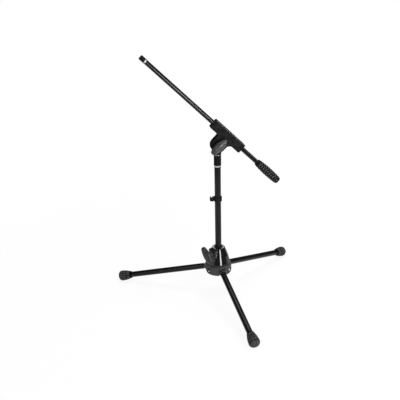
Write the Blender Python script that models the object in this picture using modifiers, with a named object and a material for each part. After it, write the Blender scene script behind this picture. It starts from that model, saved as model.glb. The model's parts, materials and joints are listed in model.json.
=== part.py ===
"""Low boom microphone stand: folding tripod hub, clutch mast and a clamped boom.

Lengths are in metres, +Z is up and the three feet stand on z = 0. The boom lies
in the XZ plane with its microphone end towards -X. Every moving piece hangs on
an empty that sits on its joint's axis.
"""

import math

import bmesh
import bpy
from mathutils import Matrix, Vector

MM = 0.001

# Fits shared by all pieces
SEAT_GAP = 0.3 * MM
BORE_GAP = 0.3 * MM
ROUND_SIDES = 24
SMALL_SIDES = 12
HUB_SIDES = 32
OVERCUT = 5 * MM

# Legs
LEG_COUNT = 3
LEG_AZIMUTH = math.radians(35.5)
LEG_SLOPE = math.radians(13.6)
LEG_LENGTH = 287.5 * MM
LEG_DIAMETER = 16.8 * MM
LEG_WALL = 1.2 * MM
LEG_HINGE_RADIUS = 30 * MM
LEG_TUBE_SETBACK = 14.5 * MM
EYE_LENGTH = 9.2 * MM
EYE_NECK_DIAMETER = 14.8 * MM
EYE_WIDTH = 16.4 * MM
EYE_PLUG_LENGTH = 22 * MM
PIN_DIAMETER = 5 * MM
PIN_EDGE = 0.5 * MM
PIN_PROUD = 0.6 * MM

# Rubber feet
FOOT_LENGTH = 41 * MM
FOOT_DIAMETER = 30.5 * MM
FOOT_BULGE = 11 * MM
FOOT_NECK_WALL = 1.2 * MM
FOOT_END_WALL = 8 * MM
FOOT_END_SQUARENESS = 2.6
FOOT_BAND_SETBACK = 15 * MM
FOOT_BAND_DEPTH = 0.7 * MM
FOOT_BAND_WIDTH = 1.6 * MM
FOOT_PAD_DEPTH = 0.6 * MM

# Leg carrier, a hollow casting under the cone; heights are from the hinge pins
CARRIER_DIAMETER = 74 * MM
CARRIER_WALL = 3 * MM
CARRIER_TOP = 15.5 * MM
CARRIER_BOTTOM = -13 * MM
CARRIER_TOP_PLATE = 4 * MM
CARRIER_EDGE = 2.5 * MM
CHEEK_THICKNESS = 3.5 * MM
CHEEK_LIFT = 1 * MM
LEG_SLOT_CLEARANCE = 0.5 * MM
BOSS_DIAMETER = 27 * MM
MAST_SEAT_HEIGHT = -7 * MM
MAST_SEAT_BORE = 10 * MM
WINDOW_TURN = math.radians(47)
WINDOW_WIDTH = 12.5 * MM
WINDOW_HEIGHT = 12 * MM
WINDOW_CENTRE = -1 * MM
SCREW_CIRCLE_RADIUS = 23.5 * MM
SCREW_TURN = math.radians(60)
SCREW_DIAMETER = 4 * MM
SCREW_HEAD_DIAMETER = 7.4 * MM
SCREW_HEAD_HEIGHT = 2.8 * MM
SCREW_BITE = 12 * MM

# Cone housing on the carrier
CONE_HEIGHT = 48.3 * MM
CONE_BASE_DIAMETER = 67 * MM
CONE_BELLY = 1.5 * MM
CONE_TOP_DIAMETER = 38 * MM
CONE_EDGE = 1.5 * MM
LUG_WIDTH = 24 * MM
LUG_REACH = 29 * MM
LUG_HEIGHT = 36 * MM
LUG_EDGE = 2.5 * MM
BUSH_DIAMETER = 21 * MM
BUSH_FLANGE_DIAMETER = 25 * MM
BUSH_FLANGE_HEIGHT = 2 * MM
BUSH_DEPTH = 8.5 * MM

# Wing screws on the hub and on the boom joint
WING_LENGTH = 54 * MM
WING_WIDTH = 23 * MM
WING_THICKNESS = 14 * MM
WING_EGG = 0.2
LEAF_TIP = 0.001
WING_BOSS_DIAMETER = 15 * MM
WING_STANDOFF = 18 * MM
WING_THREAD_DIAMETER = 6 * MM
WING_THREAD_GRIP = 15 * MM
HUB_WING_DROP = 13.2 * MM
HUB_WING_LEAN = math.radians(-53)
BOOM_WING_LEAN = math.radians(-5)
SHOE_LENGTH = 3.8 * MM
INSERT_WALL = 1.8 * MM
INSERT_LENGTH = 10 * MM

# Mast
MAST_DIAMETER = 17.8 * MM
MAST_WALL = 1.2 * MM
MAST_LENGTH = 311 * MM
PLUG_FLANGE = 2 * MM
PLUG_LENGTH = 15 * MM
EXTENSION_DIAMETER = 12 * MM
EXTENSION_WALL = 1 * MM
EXTENSION_SETBACK = 11 * MM
EXTENSION_BUSH_LENGTH = 18 * MM

# Twist clutch on the mast's top
FERRULE_RING_DIAMETER = 19.2 * MM
FERRULE_RING_HEIGHT = 4 * MM
FERRULE_SPIGOT = 20 * MM
FERRULE_NECK_DIAMETER = 15.8 * MM
FERRULE_NECK_HEIGHT = 11 * MM
COLLET_HEIGHT = 10 * MM
COLLET_TAPER = 0.9 * MM
COLLET_SLIT = 2 * MM
CLUTCH_DIAMETER = 20.2 * MM
CLUTCH_HEIGHT = 28.6 * MM
CLUTCH_RIBS = 20
CLUTCH_RIB_DEPTH = 0.7 * MM

# Cable clip on the mast
CLIP_HEIGHT = 13 * MM
CLIP_WALL = 2.2 * MM
CLIP_MOUTH = 12 * MM
CLIP_MOUTH_TURN = math.radians(75)
CLIP_HOOK_TURN = math.radians(170)
CLIP_HOOK_BORE = 8.4 * MM
CLIP_HOOK_MOUTH = 4.6 * MM
CLIP_HOOK_MOUTH_TURN = math.radians(75)
CLIP_HOOK_STEP = 0.6 * MM
CLIP_LEVEL = 212 * MM

# Swivel knuckle between the mast and the boom clamp
STUD_FLANGE_DIAMETER = 19.4 * MM
STUD_FLANGE_HEIGHT = 1.5 * MM
STUD_SPIGOT = 20 * MM
STUD_DIAMETER = 7 * MM
KNUCKLE_DIAMETER = 20.6 * MM
KNUCKLE_NECK = 4.7 * MM
KNUCKLE_EDGE = 0.8 * MM
STUD_SETBACK = 0.9 * MM
TONGUE_THICKNESS = 8 * MM
TONGUE_DIAMETER = 26 * MM
DISC_DIAMETER = 26 * MM
DISC_THICKNESS = 1.2 * MM

# Boom clamp, a T whose stem turns on the knuckle and whose bar holds the boom
BOOM_TILT = math.radians(44.8)
BOOM_OFFSET = 35.4 * MM
CLAMP_FRONT_REACH = 50.5 * MM
CLAMP_REAR_REACH = 60 * MM
CLAMP_TOP_WALL = 6.5 * MM
CLAMP_UNDER_WALL = 8.1 * MM
CLAMP_SIDE_WALL = 3.2 * MM
CLAMP_EDGE = 2.4 * MM
CLAMP_CORNER = 3.5 * MM
STEM_WIDTH = 42 * MM
STEM_SHIFT = 2 * MM
STEM_FILLET = 12 * MM
STEM_SLOT_TOP = 14.8 * MM
STEM_CLEARANCE = 0.5 * MM
BOLT_HEAD_DIAMETER = 11.5 * MM
BOLT_HEAD_HEIGHT = 4 * MM

# Boom; places along it are from the clamp's centre line, towards the tip
BOOM_DIAMETER = 12.6 * MM
BOOM_WALL = 1 * MM
BOOM_FRONT_REACH = 292 * MM
BOOM_REAR_REACH = 196 * MM
REAR_PLUG_LENGTH = 14 * MM
TIP_SPIGOT = 20 * MM
TIP_FLANGE_DIAMETER = 15.6 * MM
TIP_FLANGE_HEIGHT = 2.6 * MM
TIP_SHOULDER_HEIGHT = 0.6 * MM
TIP_THREAD_DIAMETER = 9.525 * MM
TIP_THREAD_LENGTH = 12 * MM
CAP_WALL = 1.5 * MM
CAP_END_WALL = 1.5 * MM
CAP_EDGE = 0.6 * MM

# Counterweight grip
GRIP_LENGTH = 84.5 * MM
GRIP_END_WALL = 9.5 * MM
GRIP_FRONT_DIAMETER = 18.4 * MM
GRIP_DIAMETER = 23.4 * MM
GRIP_REAR_DIAMETER = 19.6 * MM
GRIP_EDGE = 2.2 * MM
GRIP_RELIEF = 0.7 * MM
GRIP_PAD_PITCH = 7.6 * MM
GRIP_PAD_COLUMNS = 4
GRIP_SIDES = 16
GRIP_RINGS_PER_PITCH = 2

# Heights worked out from the sizes above
MAST_FOOT = MAST_SEAT_HEIGHT + SEAT_GAP
MAST_TUBE_BOTTOM = MAST_FOOT + PLUG_FLANGE + SEAT_GAP
MAST_TUBE_TOP = MAST_TUBE_BOTTOM + MAST_LENGTH
EXTENSION_LENGTH = MAST_LENGTH - EXTENSION_SETBACK
FERRULE_TOP = MAST_TUBE_TOP + SEAT_GAP + FERRULE_RING_HEIGHT
CLUTCH_BOTTOM = FERRULE_TOP + SEAT_GAP
CLUTCH_TOP = CLUTCH_BOTTOM + CLUTCH_HEIGHT
STUD_FLANGE_BOTTOM = CLUTCH_TOP + SEAT_GAP
STUD_FLANGE_TOP = STUD_FLANGE_BOTTOM + STUD_FLANGE_HEIGHT
KNUCKLE_BOTTOM = STUD_FLANGE_TOP + SEAT_GAP
KNUCKLE_NECK_TOP = KNUCKLE_BOTTOM + KNUCKLE_NECK
PIVOT_HEIGHT = KNUCKLE_NECK_TOP + STEM_CLEARANCE + STEM_SHIFT + STEM_WIDTH / 2
CONE_BOTTOM = CARRIER_TOP + SEAT_GAP
CONE_TOP = CONE_BOTTOM + CONE_HEIGHT
GRIP_REAR = -BOOM_REAR_REACH - GRIP_END_WALL
GRIP_FRONT = GRIP_REAR + GRIP_LENGTH
MAST_BORE = MAST_DIAMETER - 2 * MAST_WALL
MAST_SOCKET = MAST_DIAMETER + 2 * BORE_GAP
EXTENSION_SOCKET = EXTENSION_DIAMETER + 2 * BORE_GAP
WING_THREAD_HOLE = WING_THREAD_DIAMETER + 2 * BORE_GAP
CLAMP_HALF_WIDTH = BOOM_DIAMETER / 2 + BORE_GAP + CLAMP_SIDE_WALL
CLAMP_BORE = BOOM_DIAMETER / 2 + BORE_GAP
LEG_SLOT_WIDTH = LEG_DIAMETER + 2 * LEG_SLOT_CLEARANCE
HUB_WING_AZIMUTH = LEG_AZIMUTH + math.radians(180)

for old in list(bpy.data.objects):
    bpy.data.objects.remove(old, do_unlink=True)


def new_collection(name):
    collection = bpy.data.collections.new(name)
    bpy.context.scene.collection.children.link(collection)
    return collection


PARTS = new_collection("boom_microphone_stand")
CUTTERS = new_collection("cutters")


def material(name, colour, roughness, metallic=0.0):
    made = bpy.data.materials.new(name)
    made.use_nodes = True
    shader = made.node_tree.nodes["Principled BSDF"]
    shader.inputs["Base Color"].default_value = (*colour, 1)
    shader.inputs["Roughness"].default_value = roughness
    shader.inputs["Metallic"].default_value = metallic
    return made


POWDER_COAT = material("black_powder_coat", (0.012, 0.012, 0.013), 0.42)
GLOSS_BLACK = material("gloss_black_moulding", (0.008, 0.008, 0.009), 0.16)
GREY_CASTING = material("dark_grey_casting", (0.055, 0.055, 0.056), 0.45)
MATT_BLACK = material("matt_black_moulding", (0.020, 0.020, 0.021), 0.55)
NYLON = material("black_nylon", (0.010, 0.010, 0.010), 0.5)
RUBBER = material("black_rubber", (0.030, 0.030, 0.031), 0.8)
BRIGHT_METAL = material("bright_plating", (0.80, 0.80, 0.80), 0.2, 1.0)
ZINC = material("zinc_plated_steel", (0.55, 0.55, 0.55), 0.38, 1.0)
BRASS = material("brass", (0.60, 0.43, 0.18), 0.35, 1.0)


def empty(name, parent=None, location=(0, 0, 0), rotation=(0, 0, 0)):
    frame = bpy.data.objects.new(name, None)
    frame.parent = parent
    frame.location = location
    frame.rotation_euler = rotation
    PARTS.objects.link(frame)
    return frame


def add(name, mesh, parent, finish=None, location=(0, 0, 0), rotation=(0, 0, 0)):
    """Places a mesh as a part, or as a hidden cutter where it has no finish."""
    piece = bpy.data.objects.new(name, mesh)
    piece.parent = parent
    piece.location = location
    piece.rotation_euler = rotation
    if finish is None:
        piece.hide_render = True
        piece.display_type = "WIRE"
        CUTTERS.objects.link(piece)
    else:
        mesh.materials.append(finish)
        PARTS.objects.link(piece)
    return piece


def turned(name, profile, parent, finish=None, ring=False, sides=ROUND_SIDES, **place):
    """Turns (radius, height) points about local Z; a ring's last point joins its first."""
    mesh = bpy.data.meshes.new(name)
    count = len(profile)
    edges = [(i, i + 1) for i in range(count - 1)]
    if ring:
        edges.append((count - 1, 0))
    mesh.from_pydata([(radius, 0, height) for radius, height in profile], edges, [])
    piece = add(name, mesh, parent, finish, **place)
    screw = piece.modifiers.new("turn", "SCREW")
    screw.steps = sides
    screw.render_steps = sides
    screw.use_merge_vertices = True
    screw.merge_threshold = 1e-6
    return piece


def rod(name, radius, bottom, top, parent, finish=None, sides=ROUND_SIDES, edge=0.0, **place):
    """A round bar along local Z with chamfered ends."""
    profile = [(0, top)]
    if edge:
        profile += [(radius - edge, top), (radius, top - edge)]
        profile += [(radius, bottom + edge), (radius - edge, bottom)]
    else:
        profile += [(radius, top), (radius, bottom)]
    profile.append((0, bottom))
    return turned(name, profile, parent, finish, sides=sides, **place)


def tube(name, radius, bore, bottom, top, parent, finish, sides=ROUND_SIDES, **place):
    profile = [(radius, top), (radius, bottom), (bore, bottom), (bore, top)]
    return turned(name, profile, parent, finish, ring=True, sides=sides, **place)


def box(name, low, high, parent, finish=None, edge=0.0, **place):
    bm = bmesh.new()
    size = Vector(high) - Vector(low)
    middle = (Vector(high) + Vector(low)) / 2
    bmesh.ops.create_cube(bm, size=1, matrix=Matrix.Translation(middle) @ Matrix.Diagonal((*size, 1)))
    mesh = bpy.data.meshes.new(name)
    bm.to_mesh(mesh)
    bm.free()
    return round_edges(add(name, mesh, parent, finish, **place), edge)


def round_edges(piece, width):
    if width:
        bevel = piece.modifiers.new("round_edges", "BEVEL")
        bevel.width = width
        bevel.segments = 2
        bevel.limit_method = "ANGLE"
        bevel.angle_limit = math.radians(50)
        bevel.use_clamp_overlap = False
    return piece


def plate(name, outline, half_thickness, parent, finish=None, edge=0.0, **place):
    """Extrudes a closed outline of (x, y) points to both sides, with rounded rims."""
    bm = bmesh.new()
    rim = [bm.verts.new((x, y, -half_thickness)) for x, y in outline]
    extruded = bmesh.ops.extrude_face_region(bm, geom=[bm.faces.new(rim)])
    moved = [item for item in extruded["geom"] if isinstance(item, bmesh.types.BMVert)]
    bmesh.ops.translate(bm, verts=moved, vec=(0, 0, 2 * half_thickness))
    bmesh.ops.recalc_face_normals(bm, faces=bm.faces)
    mesh = bpy.data.meshes.new(name)
    bm.to_mesh(mesh)
    bm.free()
    return round_edges(add(name, mesh, parent, finish, **place), edge)


def arc(centre, radius, start, end, steps):
    """Points on a circle, angles in degrees."""
    points = []
    for i in range(steps + 1):
        angle = math.radians(start + (end - start) * i / steps)
        points.append((centre[0] + radius * math.cos(angle), centre[1] + radius * math.sin(angle)))
    return points


def combine(piece, operation, others):
    for other in others:
        boolean = piece.modifiers.new(other.name, "BOOLEAN")
        boolean.operation = operation
        boolean.solver = "EXACT"
        boolean.object = other
    return piece


def cut(piece, *cutters):
    return combine(piece, "DIFFERENCE", cutters)


def join(piece, *others):
    return combine(piece, "UNION", others)


ALONG_X = (0, math.radians(90), 0)
TOWARDS_TIP = (0, math.radians(-90), 0)
TOWARDS_FRONT = (math.radians(90), 0, 0)
ACROSS_LEG = (math.radians(-90), 0, 0)


def foot_profile():
    """(radius, distance from the hinge) points of a foot's outside, from its end to its neck."""
    widest = FOOT_DIAMETER / 2
    neck = LEG_DIAMETER / 2 + BORE_GAP + FOOT_NECK_WALL
    swell = FOOT_LENGTH - FOOT_BULGE
    points = []
    end_steps = 6
    for i in range(end_steps):
        across = math.sin(math.radians(90) * i / end_steps)
        along = (1 - across**FOOT_END_SQUARENESS) ** (1 / FOOT_END_SQUARENESS)
        points.append((widest * across, LEG_LENGTH - FOOT_BULGE * (1 - along)))

    def flank(setback):
        share = (FOOT_LENGTH - setback) / swell
        return neck + (widest - neck) * math.sin(math.radians(90) * share)

    band = FOOT_BAND_SETBACK
    groove = FOOT_BAND_WIDTH
    points.append((widest, LEG_LENGTH - FOOT_BULGE))
    points.append((flank(band), LEG_LENGTH - band))
    points.append((flank(band + groove / 3) - FOOT_BAND_DEPTH, LEG_LENGTH - band - groove / 3))
    points.append((flank(band + groove) - FOOT_BAND_DEPTH, LEG_LENGTH - band - groove))
    points.append((flank(band + groove * 4 / 3), LEG_LENGTH - band - groove * 4 / 3))
    flank_steps = 4
    start = band + groove * 4 / 3
    for i in range(1, flank_steps + 1):
        setback = start + (FOOT_LENGTH - start) * i / flank_steps
        points.append((flank(setback), LEG_LENGTH - setback))
    return points


def hinge_height():
    """Height of the hinge pins that lets the sloping feet sink by their pads' depth."""
    slope = (math.sin(LEG_SLOPE), math.cos(LEG_SLOPE))
    return max(along * slope[0] + radius * slope[1] for radius, along in foot_profile()) - FOOT_PAD_DEPTH


stand = empty("stand")
hub = empty("hub", stand, (0, 0, hinge_height()))
floor_cutter = box(
    "floor_cutter",
    (-2 * LEG_LENGTH, -2 * LEG_LENGTH, -FOOT_DIAMETER),
    (2 * LEG_LENGTH, 2 * LEG_LENGTH, 0),
    stand,
)


def leg_azimuths():
    return [LEG_AZIMUTH + math.radians(360) * i / LEG_COUNT for i in range(LEG_COUNT)]


def build_leg(number, azimuth):
    """A tube with a hinge eye at the hub and a rubber foot, along local X of its hinge."""
    turn = empty(f"leg_turn_{number}", hub, rotation=(0, 0, azimuth))
    hinge = empty(f"leg_hinge_{number}", turn, (LEG_HINGE_RADIUS, 0, 0), (0, LEG_SLOPE, 0))
    outside = LEG_DIAMETER / 2
    bore = outside - LEG_WALL
    tube_end = LEG_LENGTH - FOOT_END_WALL - SEAT_GAP
    tube(f"leg_tube_{number}", outside, bore, LEG_TUBE_SETBACK, tube_end, hinge, POWDER_COAT, 24,
         rotation=ALONG_X)

    outline = [(EYE_LENGTH, outside)] + arc((0, 0), outside, 90, 270, 10) + [(EYE_LENGTH, -outside)]
    eye = plate(f"leg_eye_{number}", outline, EYE_WIDTH / 2, hinge, ZINC, rotation=TOWARDS_FRONT)
    neck = EYE_NECK_DIAMETER / 2
    neck_end = LEG_TUBE_SETBACK - SEAT_GAP
    root = EYE_LENGTH - OVERCUT / 2
    plug_end = neck_end + EYE_PLUG_LENGTH
    spigot = bore - BORE_GAP
    shank = [(0, plug_end), (spigot, plug_end), (spigot, neck_end), (neck, neck_end), (neck, root), (0, root)]
    plug = turned(f"eye_plug_{number}", shank, hinge, sides=SMALL_SIDES, rotation=ALONG_X)
    hole = rod(f"eye_hole_{number}", PIN_DIAMETER / 2 + BORE_GAP, -EYE_WIDTH, EYE_WIDTH, hinge,
               sides=SMALL_SIDES, rotation=ACROSS_LEG)
    cut(join(eye, plug), hole)

    socket = outside + BORE_GAP
    profile = foot_profile()
    socket_end = LEG_LENGTH - FOOT_END_WALL
    profile += [(socket, LEG_LENGTH - FOOT_LENGTH), (socket, socket_end), (0, socket_end)]
    foot = turned(f"leg_foot_{number}", profile, hinge, RUBBER, sides=ROUND_SIDES, rotation=ALONG_X)
    cut(foot, floor_cutter)


def build_leg_pin(number, azimuth):
    turn = empty(f"pin_turn_{number}", hub, rotation=(0, 0, azimuth))
    half = LEG_SLOT_WIDTH / 2 + CHEEK_THICKNESS
    rod(f"leg_pin_{number}", PIN_DIAMETER / 2, -half, half, turn, ZINC, SMALL_SIDES, PIN_EDGE,
        location=(LEG_HINGE_RADIUS, 0, 0), rotation=ACROSS_LEG)


def build_carrier():
    """A hollow dish with a slot, two cheeks and a stop for each leg."""
    outside = CARRIER_DIAMETER / 2
    inside = outside - CARRIER_WALL
    boss = BOSS_DIAMETER / 2
    seat = MAST_SEAT_BORE / 2
    socket = MAST_SOCKET / 2
    plate_under = CARRIER_TOP - CARRIER_TOP_PLATE
    profile = [(outside - CARRIER_EDGE, CARRIER_TOP), (outside, CARRIER_TOP - CARRIER_EDGE)]
    profile += [(outside, CARRIER_BOTTOM + 2 * CARRIER_EDGE), (outside - CARRIER_EDGE / 2, CARRIER_BOTTOM)]
    profile += [(inside - CARRIER_EDGE / 2, CARRIER_BOTTOM), (inside, CARRIER_BOTTOM + 2 * CARRIER_EDGE)]
    profile += [(inside, plate_under), (boss, plate_under), (boss, CARRIER_BOTTOM), (seat, CARRIER_BOTTOM)]
    profile += [(seat, MAST_SEAT_HEIGHT), (socket, MAST_SEAT_HEIGHT), (socket, CARRIER_TOP)]
    carrier = turned("leg_carrier", profile, hub, GREY_CASTING, ring=True, sides=HUB_SIDES)

    sweep = LEG_DIAMETER / 2 + SEAT_GAP
    slope = math.degrees(LEG_SLOPE)
    roof = arc((LEG_HINGE_RADIUS, 0), sweep, 180, 90 - slope, 8)
    reach = CARRIER_DIAMETER
    over = (roof[-1][0] + reach * math.cos(LEG_SLOPE), roof[-1][1] - reach * math.sin(LEG_SLOPE))
    below = CARRIER_BOTTOM - OVERCUT
    slot_outline = [(LEG_HINGE_RADIUS - sweep, below)] + roof + [over, (over[0], below)]
    near = LEG_SLOT_WIDTH / 2
    far = near + CHEEK_THICKNESS
    for number, azimuth in enumerate(leg_azimuths(), 1):
        turn = empty(f"slot_turn_{number}", hub, rotation=(0, 0, azimuth))
        block_end = math.sqrt(inside**2 - far**2) + CARRIER_WALL / 2
        block = box(f"cheek_block_{number}", (boss - CARRIER_WALL, -far, CARRIER_BOTTOM + CHEEK_LIFT),
                    (block_end, far, plate_under + CARRIER_WALL / 2), turn)
        join(carrier, block)
        slot = plate(f"leg_slot_{number}", slot_outline, near, turn, rotation=TOWARDS_FRONT)
        hole = rod(f"pin_hole_{number}", PIN_DIAMETER / 2 + BORE_GAP, -far - PIN_PROUD, far + PIN_PROUD, turn,
                   sides=SMALL_SIDES, location=(LEG_HINGE_RADIUS, 0, 0), rotation=ACROSS_LEG)
        low = WINDOW_CENTRE - WINDOW_HEIGHT / 2
        window = box(f"window_{number}", (inside - CARRIER_WALL, -WINDOW_WIDTH / 2, low),
                     (outside + OVERCUT, WINDOW_WIDTH / 2, low + WINDOW_HEIGHT), turn, edge=CARRIER_EDGE / 2,
                     rotation=(0, 0, WINDOW_TURN))
        screw_hole = rod(f"screw_hole_{number}", SCREW_DIAMETER / 2 + BORE_GAP, plate_under - OVERCUT / 2,
                         CARRIER_TOP + OVERCUT, turn, sides=SMALL_SIDES, location=screw_place())
        cut(carrier, slot, hole, window, screw_hole)


def screw_place():
    """A carrier screw's place, midway between two legs."""
    return (SCREW_CIRCLE_RADIUS * math.cos(SCREW_TURN), SCREW_CIRCLE_RADIUS * math.sin(SCREW_TURN), 0)


def build_carrier_screw(number, azimuth):
    turn = empty(f"screw_turn_{number}", hub, rotation=(0, 0, azimuth))
    seat = CARRIER_TOP - CARRIER_TOP_PLATE - SEAT_GAP
    head = SCREW_HEAD_DIAMETER / 2
    shaft = SCREW_DIAMETER / 2
    top = CONE_BOTTOM + SCREW_BITE - SEAT_GAP
    profile = [(0, top), (shaft, top), (shaft, seat), (head, seat), (head, seat - SCREW_HEAD_HEIGHT * 0.6)]
    profile += [(head * 0.6, seat - SCREW_HEAD_HEIGHT), (0, seat - SCREW_HEAD_HEIGHT)]
    turned(f"carrier_screw_{number}", profile, turn, ZINC, sides=SMALL_SIDES, location=screw_place())


def hub_wing_frame():
    """The clamp screw's axis through the lug, pointing outwards along local Z."""
    turn = empty("hub_wing_turn", hub, rotation=(0, 0, HUB_WING_AZIMUTH))
    return empty("hub_wing_axis", turn, (0, 0, CONE_TOP - HUB_WING_DROP), ALONG_X)


def build_cone(screw_axis):
    """The glossy housing, with a lug for the clamp screw and a bush round the mast."""
    base = CONE_BASE_DIAMETER / 2
    top = CONE_TOP_DIAMETER / 2
    socket = MAST_SOCKET / 2
    bush_seat = BUSH_DIAMETER / 2 + BORE_GAP
    seat = CONE_TOP - BUSH_DEPTH - SEAT_GAP
    middle = (top + base) / 2 + CONE_BELLY
    profile = [(top - CONE_EDGE, CONE_TOP), (top, CONE_TOP - CONE_EDGE)]
    profile.append((middle, (CONE_TOP + CONE_BOTTOM) / 2))
    profile.append((base, CONE_BOTTOM + 2 * CONE_EDGE))
    profile += [(base, CONE_BOTTOM + CONE_EDGE / 2), (base - CONE_EDGE / 2, CONE_BOTTOM)]
    profile.append((socket, CONE_BOTTOM))
    profile += [(socket, seat), (bush_seat, seat), (bush_seat, CONE_TOP)]
    cone = turned("hub_cone", profile, hub, GLOSS_BLACK, ring=True, sides=HUB_SIDES)
    turn = empty("lug_turn", hub, rotation=(0, 0, HUB_WING_AZIMUTH))
    lug = box("clamp_lug", (bush_seat + CONE_EDGE, -LUG_WIDTH / 2, CONE_TOP - LUG_HEIGHT),
              (LUG_REACH, LUG_WIDTH / 2, CONE_TOP - CONE_EDGE / 4), turn, edge=LUG_EDGE)
    hole = rod("clamp_hole", WING_THREAD_HOLE / 2, 0, LUG_REACH + OVERCUT, screw_axis, sides=SMALL_SIDES)
    cut(join(cone, lug), hole)
    for number, azimuth in enumerate(leg_azimuths(), 1):
        turn = empty(f"bite_turn_{number}", hub, rotation=(0, 0, azimuth))
        bite = rod(f"screw_bite_{number}", SCREW_DIAMETER / 2 + BORE_GAP, CONE_BOTTOM - OVERCUT,
                   CONE_BOTTOM + SCREW_BITE, turn, sides=SMALL_SIDES, location=screw_place())
        cut(cone, bite)

    flange = BUSH_FLANGE_DIAMETER / 2
    under = CONE_TOP + SEAT_GAP
    rim = under + BUSH_FLANGE_HEIGHT
    sleeve = BUSH_DIAMETER / 2
    bush = [(socket, rim), (flange - CONE_EDGE / 2, rim), (flange, rim - CONE_EDGE / 2), (flange, under)]
    bush += [(sleeve, under), (sleeve, CONE_TOP - BUSH_DEPTH), (socket, CONE_TOP - BUSH_DEPTH)]
    turned("hub_bush", bush, hub, NYLON, ring=True)


def leaf_mesh(name):
    """A paddle about the origin: long axis on Y, blunt at its low end, thickness on Z."""
    bm = bmesh.new()
    bmesh.ops.create_uvsphere(bm, u_segments=16, v_segments=10, radius=1)
    for vertex in bm.verts:
        x, y, z = vertex.co
        taper = max(1 - z * z, LEAF_TIP) ** (WING_EGG * z)
        vertex.co = (x * taper * WING_WIDTH / 2, z * WING_LENGTH / 2, -y * taper * WING_THICKNESS / 2)
    mesh = bpy.data.meshes.new(name)
    bm.to_mesh(mesh)
    bm.free()
    return mesh


def build_wing(name, axis, seat, lean):
    """A leaf paddle on a round boss, whose foot is at local height seat."""
    middle = seat + WING_STANDOFF
    knob = add(name, leaf_mesh(name), axis, MATT_BLACK, (0, 0, middle), (0, 0, lean))
    boss = turned(
        name + "_boss",
        [(0, middle), (WING_BOSS_DIAMETER * 0.4, middle), (WING_BOSS_DIAMETER / 2, seat), (0, seat)],
        axis,
        sides=SMALL_SIDES,
    )
    return join(knob, boss)


def build_hub_wing(axis):
    seat = LUG_REACH + SEAT_GAP
    knob = build_wing("hub_wing_knob", axis, seat, HUB_WING_LEAN)
    end = seat + WING_THREAD_GRIP
    hole = rod("hub_wing_hole", WING_THREAD_HOLE / 2, seat - OVERCUT, end, axis, sides=SMALL_SIDES)
    cut(knob, hole)
    shoe_front = MAST_SOCKET / 2 + SHOE_LENGTH
    thread = WING_THREAD_DIAMETER / 2
    rod("hub_wing_screw", thread, shoe_front + SEAT_GAP, end - SEAT_GAP, axis, ZINC, SMALL_SIDES)
    rod("hub_clamp_shoe", thread, MAST_SOCKET / 2, shoe_front, axis, BRASS, SMALL_SIDES)


def build_mast():
    outside = MAST_DIAMETER / 2
    bore = MAST_BORE / 2
    tube("mast_tube", outside, bore, MAST_TUBE_BOTTOM, MAST_TUBE_TOP, hub, POWDER_COAT)
    spigot = bore - BORE_GAP
    flange_top = MAST_FOOT + PLUG_FLANGE
    plug = [(0, flange_top + PLUG_LENGTH), (spigot, flange_top + PLUG_LENGTH), (spigot, flange_top)]
    plug += [(outside, flange_top), (outside, MAST_FOOT), (0, MAST_FOOT)]
    turned("mast_plug", plug, hub, NYLON, sides=SMALL_SIDES)

    inner = EXTENSION_SOCKET / 2
    ring = FERRULE_RING_DIAMETER / 2
    neck = FERRULE_NECK_DIAMETER / 2
    under = MAST_TUBE_TOP + SEAT_GAP
    neck_top = FERRULE_TOP + FERRULE_NECK_HEIGHT
    ferrule = [(neck, neck_top), (neck, FERRULE_TOP), (ring, FERRULE_TOP), (ring, under), (spigot, under)]
    ferrule += [(spigot, under - FERRULE_SPIGOT), (inner, under - FERRULE_SPIGOT), (inner, neck_top)]
    turned("clutch_ferrule", ferrule, hub, BRIGHT_METAL, ring=True)

    collet_bottom = neck_top + SEAT_GAP
    collet_top = collet_bottom + COLLET_HEIGHT
    collet = [(neck - COLLET_TAPER, collet_top), (neck, collet_bottom)]
    collet += [(inner, collet_bottom), (inner, collet_top)]
    ring_piece = turned("clutch_collet", collet, hub, NYLON, ring=True, sides=24)
    slit = box("collet_slit", (0, -COLLET_SLIT / 2, collet_bottom - OVERCUT),
               (CLUTCH_DIAMETER, COLLET_SLIT / 2, collet_top + OVERCUT), hub)
    cut(ring_piece, slit)


def build_clutch():
    """A ribbed sleeve whose tapered bore closes the collet on the extension tube."""
    outer = CLUTCH_DIAMETER / 2
    outline = []
    for i in range(CLUTCH_RIBS):
        start = 360 * i / CLUTCH_RIBS
        pitch = 360 / CLUTCH_RIBS
        outline += arc((0, 0), outer, start, start + pitch * 0.5, 1)
        outline += arc((0, 0), outer - CLUTCH_RIB_DEPTH, start + pitch * 0.62, start + pitch * 0.88, 1)
    half = CLUTCH_HEIGHT / 2
    sleeve = plate("clutch_sleeve", outline, half, hub, MATT_BLACK, location=(0, 0, CLUTCH_BOTTOM + half))
    neck = FERRULE_NECK_DIAMETER / 2 + BORE_GAP
    inner = EXTENSION_SOCKET / 2
    taper_bottom = FERRULE_TOP + FERRULE_NECK_HEIGHT + SEAT_GAP
    taper_top = taper_bottom + COLLET_HEIGHT + SEAT_GAP
    bore = [(0, CLUTCH_TOP + OVERCUT), (inner, CLUTCH_TOP + OVERCUT), (inner, taper_top)]
    bore += [(neck - COLLET_TAPER, taper_top), (neck, taper_bottom), (neck, CLUTCH_BOTTOM - OVERCUT)]
    bore.append((0, CLUTCH_BOTTOM - OVERCUT))
    cut(sleeve, turned("clutch_bore", bore, hub))


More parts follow.
